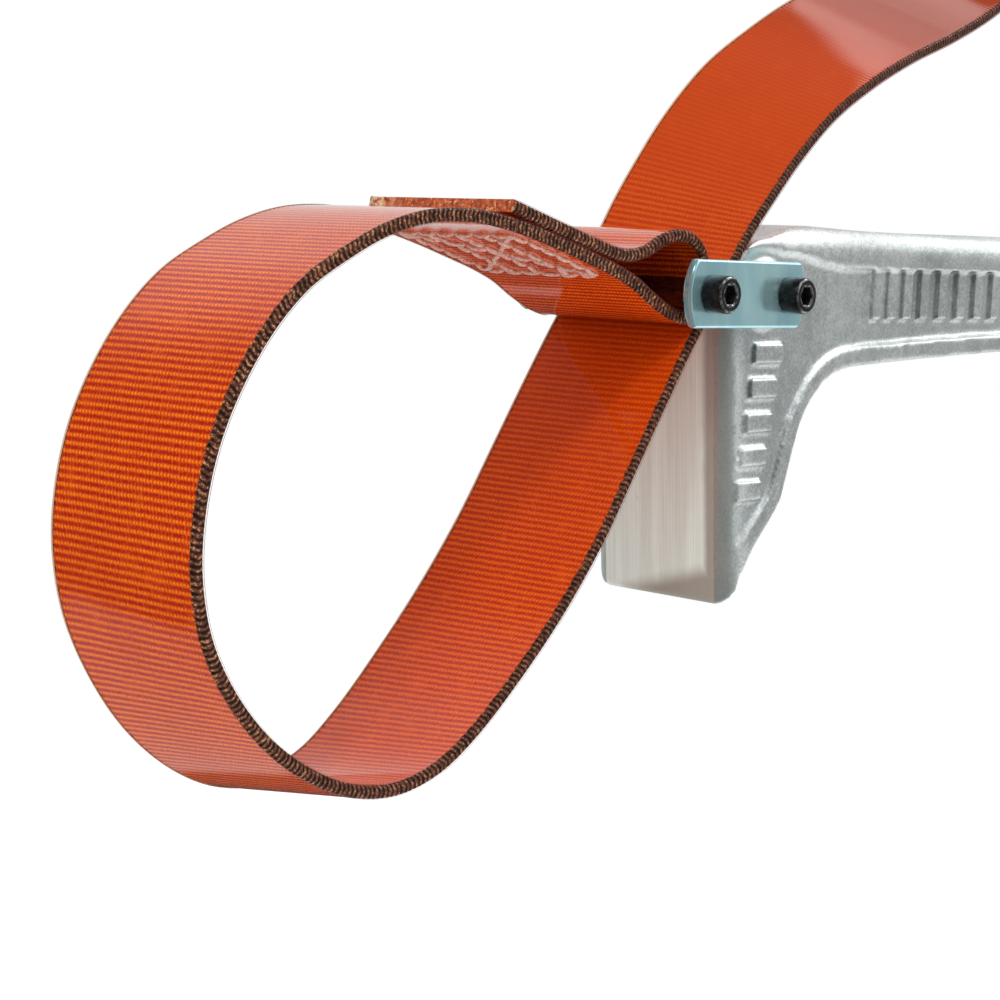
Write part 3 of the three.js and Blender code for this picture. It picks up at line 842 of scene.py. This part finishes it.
def screw(name, node):
    """Rings from the bottom of the socket out over the head and down the shank."""
    low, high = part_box(node)
    end = (high[1] - low[1]) / MM
    corner = HEX_FLATS / 2 / math.cos(math.pi / 6)
    socket = [(HEX_DEPTH + 0.5, 0.05), (HEX_DEPTH, 1.0), (HEX_DEPTH - 0.05, hexagon(-0.02)),
              (0.22, hexagon()), (0.05, hexagon(0.16)), (0.0, corner + 0.26)]
    rim = [(0.0, HEAD_R - 0.46), (0.06, HEAD_R - 0.28), (0.20, HEAD_R - 0.12),
           (0.36, HEAD_R - 0.02), (0.48, HEAD_R)]
    shank = [(HEAD_H - 0.25, HEAD_R), (HEAD_H - 0.07, HEAD_R - 0.05), (HEAD_H, HEAD_R - 0.18),
             (HEAD_H, SHANK_R + 0.3), (HEAD_H + 0.15, SHANK_R), (end - 0.5, SHANK_R),
             (end, SHANK_R - 0.4), (end, 0.05)]
    worn = (3, 4, 6, 7)  # the socket's chamfer and the rim of the head
    rings = socket + rim + shank
    centre = Vector((middle(node).x, low[1], middle(node).z))
    verts = [v for y, r in rings
             for v in circle(centre, y, r if isinstance(r, list) else [r] * SCREW_SIDES)]
    kinds = [int(i in worn) for i in range(len(rings) - 1) for _ in range(SCREW_SIDES)] + [0, 0]
    obj = make_object(name, verts, tube_faces(len(rings), SCREW_SIDES), [BLACK, WORN], kinds)
    clean(obj)
    shade_smooth(obj.data, 35)
    finish_piece(obj, "link", "black_oxide", node)


def ring_piece(name, node, body, slot, material, bore, chamfer=0.12):
    """A turned ring with a bore, its edges chamfered."""
    low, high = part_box(node)
    outer = (high[0] - low[0]) / 2 / MM
    long = (high[1] - low[1]) / MM
    e = chamfer
    profile = [(0, bore + e), (0, outer - e), (e * 0.3, outer - e * 0.3), (e, outer),
               (long - e, outer), (long - e * 0.3, outer - e * 0.3), (long, outer - e),
               (long, bore + e), (long - e, bore), (e, bore)]
    centre = Vector((middle(node).x, low[1], middle(node).z))
    n = len(profile)
    circles = [circle(centre, y, [r] * RING_SIDES) for y, r in profile]
    verts = [points[i] for i in range(RING_SIDES) for points in circles]
    faces = []
    for i in range(RING_SIDES):
        k = (i + 1) % RING_SIDES
        for j in range(n):
            w = (j + 1) % n
            faces.append((i * n + j, i * n + w, k * n + w, k * n + j))
    obj = make_object(name, verts, faces, [material])
    clean(obj, merge=1e-7)
    shade_smooth(obj.data, 32)
    finish_piece(obj, body, slot, node)


def plate(name, node, width, segments):
    """The CAD solid's own shape with its edges eased."""
    obj = copy_node(name, node, ZINC)
    bm = bmesh.new()
    bm.from_mesh(obj.data)
    bmesh.ops.remove_doubles(bm, verts=bm.verts, dist=1e-6)
    bmesh.ops.dissolve_limit(bm, angle_limit=math.radians(1), verts=bm.verts, edges=bm.edges)
    bm.to_mesh(obj.data)
    bm.free()
    modify(obj, "round", "BEVEL", use_clamp_overlap=False, width=width, segments=segments,
           limit_method="ANGLE", angle_limit=math.radians(30), harden_normals=False)
    settle(obj)
    shade_smooth(obj.data, 50)
    # flat faces shade flat, up to their eased edges
    modify(obj, "flat", "WEIGHTED_NORMAL", mode="FACE_AREA", weight=100, keep_sharp=True)
    settle(obj)
    finish_piece(obj, "link", "zinc_plate", node)


plate("plate_near", "link_plate_near", 0.50 * MM, 6)
plate("plate_far", "link_plate_far", 0.30 * MM, 4)
screw("screw_pivot", "pivot_screw")
screw("screw_eye", "eye_screw")
ring_piece("spacer_near", "pivot_spacer_near", "link", "washer_steel", WASHER, SPACER_BORE)
ring_piece("spacer_far", "pivot_spacer_far", "link", "washer_steel", WASHER, SPACER_BORE)
ring_piece("bush_pivot", "pivot_bush", "handle", "bronze", BRONZE, BUSH_BORE)
ring_piece("sleeve_eye", "eye_sleeve", "sleeve", "dark_steel", SLEEVE, BUSH_BORE, chamfer=0.2)


# ---------------------------------------------------------------- stage and light
FLOOR_BELOW = 0.20
FLOOR_AHEAD, FLOOR_RIGHT = Vector((0.743, 0.669, 0)), Vector((0.669, -0.743, 0))
FLOOR_NEAR, FLOOR_FAR, FLOOR_LEFT_END, FLOOR_RIGHT_END = -0.8, 1.1, -0.38, 0.9
LIGHT_AT_LEFT, LIGHT_AT_RIGHT = (-0.75, -0.30, 0.70), (0.65, -0.28, 0.62)
LIGHT_LOOKS_AT = (-0.10, 0, 0)
# levels in the world: what is matt sees EVEN, what is glossy mirrors the others
DARK, DIM, ROOM, LAMP = 0.05, 0.12, 0.29, 1.5
SWEEP_LOW, SWEEP_HIGH, SWEEP_TOP = 0.8, 0.75, 1.35
TABLE, TABLE_LIT = 0.46, 1.0
EVEN = (0.48, 0.82)
# the sweep's left end leans over the object: 0.818 x + 0.526 y = 0.165 |z| + 0.063 z
SWEEP_END, SWEEP_LEAN = (0.818, 0.526, -0.063), -0.165


def floor():
    """A pale table, turned to the camera, whose left end lies just beside the object."""
    z = CAD_BOX[0][2] - FLOOR_BELOW
    corners = [(FLOOR_NEAR, FLOOR_LEFT_END), (FLOOR_NEAR, FLOOR_RIGHT_END),
               (FLOOR_FAR, FLOOR_RIGHT_END), (FLOOR_FAR, FLOOR_LEFT_END)]
    at = [FLOOR_AHEAD * a + FLOOR_RIGHT * b + Vector((0, 0, z)) for a, b in corners]
    obj = make_object("floor", at, [(3, 2, 1, 0)], [floor_mat()])
    obj.visible_glossy = False  # the world stands for it in reflections


def area(name, at, size, power):
    """A square white area light, turned to the object."""
    data = bpy.data.lights.new(name, "AREA")
    data.shape, data.size, data.size_y = "RECTANGLE", size, size
    data.energy = power
    obj = add_object(name, data)
    obj.location = at
    aim = Vector(LIGHT_LOOKS_AT) - Vector(at)
    obj.rotation_euler = aim.to_track_quat("-Z", "Y").to_euler()
    return obj


def world():
    """White to the camera, even light to what is matt. What is glossy mirrors a white sweep
    behind and to the right, a middling room in front and darkness on the left."""
    studio = bpy.data.worlds.new("studio")
    bpy.context.scene.world = studio
    studio.use_nodes = True
    tree = studio.node_tree
    tree.nodes.clear()

    def node(kind, *inputs, **values):
        made = tree.nodes.new(kind)
        for key, value in values.items():
            setattr(made, key, value)
        for i, value in enumerate(inputs):
            if hasattr(value, "is_output"):
                tree.links.new(value, made.inputs[i])
            elif value is not None:
                made.inputs[i].default_value = value
        return made

    def calc(operation, *inputs):
        return node("ShaderNodeMath", *inputs, operation=operation).outputs[0]

    def ramp(value, low, high, out_low=0.0, out_high=1.0):
        return node("ShaderNodeMapRange", value, low, high, out_low, out_high,
                    interpolation_type="SMOOTHSTEP").outputs[0]

    def turned(low, high):
        """A ramp on the direction seen from above, in degrees from +X."""
        return ramp(turn, math.radians(low), math.radians(high))

    def mix(factor, a, b):
        return node("ShaderNodeMix", factor, None, a, b, data_type="FLOAT").outputs[0]

    at = node("ShaderNodeTexCoord").outputs["Generated"]
    x, y, z = node("ShaderNodeSeparateXYZ", at).outputs
    turn = calc("ARCTAN2", y, x)
    side = node("ShaderNodeVectorMath", at, SWEEP_END, operation="DOT_PRODUCT").outputs["Value"]
    side = calc("MULTIPLY_ADD", calc("ABSOLUTE", z), SWEEP_LEAN, side)
    # the sweep's end is crisp below the object and soft above it; the ceiling over it is dark
    edge = mix(ramp(z, -0.1, 0.1), ramp(side, 0.0, 0.04), ramp(side, -0.02, 0.26))
    sweep = calc("MULTIPLY", calc("MULTIPLY", turned(-12, 4), edge), ramp(z, 0.845, 0.815))
    front = calc("MULTIPLY", turned(-120, -75), turned(20, -20))
    above = ramp(z, 0.22, 0.45)
    dark = mix(ramp(z, 0.3, 0.65), DARK, DIM)
    high = mix(ramp(z, 0.74, 0.80), SWEEP_HIGH, SWEEP_TOP)
    mirrored = mix(sweep, mix(front, dark, mix(above, ROOM, LAMP)), mix(above, SWEEP_LOW, high))
    table = calc("MULTIPLY", ramp(z, -0.15, -0.35), ramp(side, 0.0, 0.04))
    mirrored = mix(table, mirrored, mix(turned(60, 25), TABLE, TABLE_LIT))
    # far behind, the table ends
    beyond = calc("MULTIPLY", ramp(side, 0.615, 0.655), turned(30, 45))
    beyond = calc("MULTIPLY", beyond, ramp(z, -0.2, -0.35))
    mirrored = mix(beyond, mirrored, DARK)
    path = node("ShaderNodeLightPath").outputs
    level = mix(path["Is Diffuse Ray"], mirrored, ramp(z, -0.8, 0.9, *EVEN))
    level = mix(path["Is Camera Ray"], level, 1.0)
    node("ShaderNodeOutputWorld", node("ShaderNodeBackground", (1, 1, 1, 1), level).outputs[0])


bpy.context.scene.view_settings.view_transform = "Standard"
floor()
world()
key = area("key", LIGHT_AT_LEFT, 0.45, 1.4)
key.visible_glossy = False
area("glint_left", LIGHT_AT_LEFT, 0.10, 1.5)
area("glint_right", LIGHT_AT_RIGHT, 0.10, 1.1)
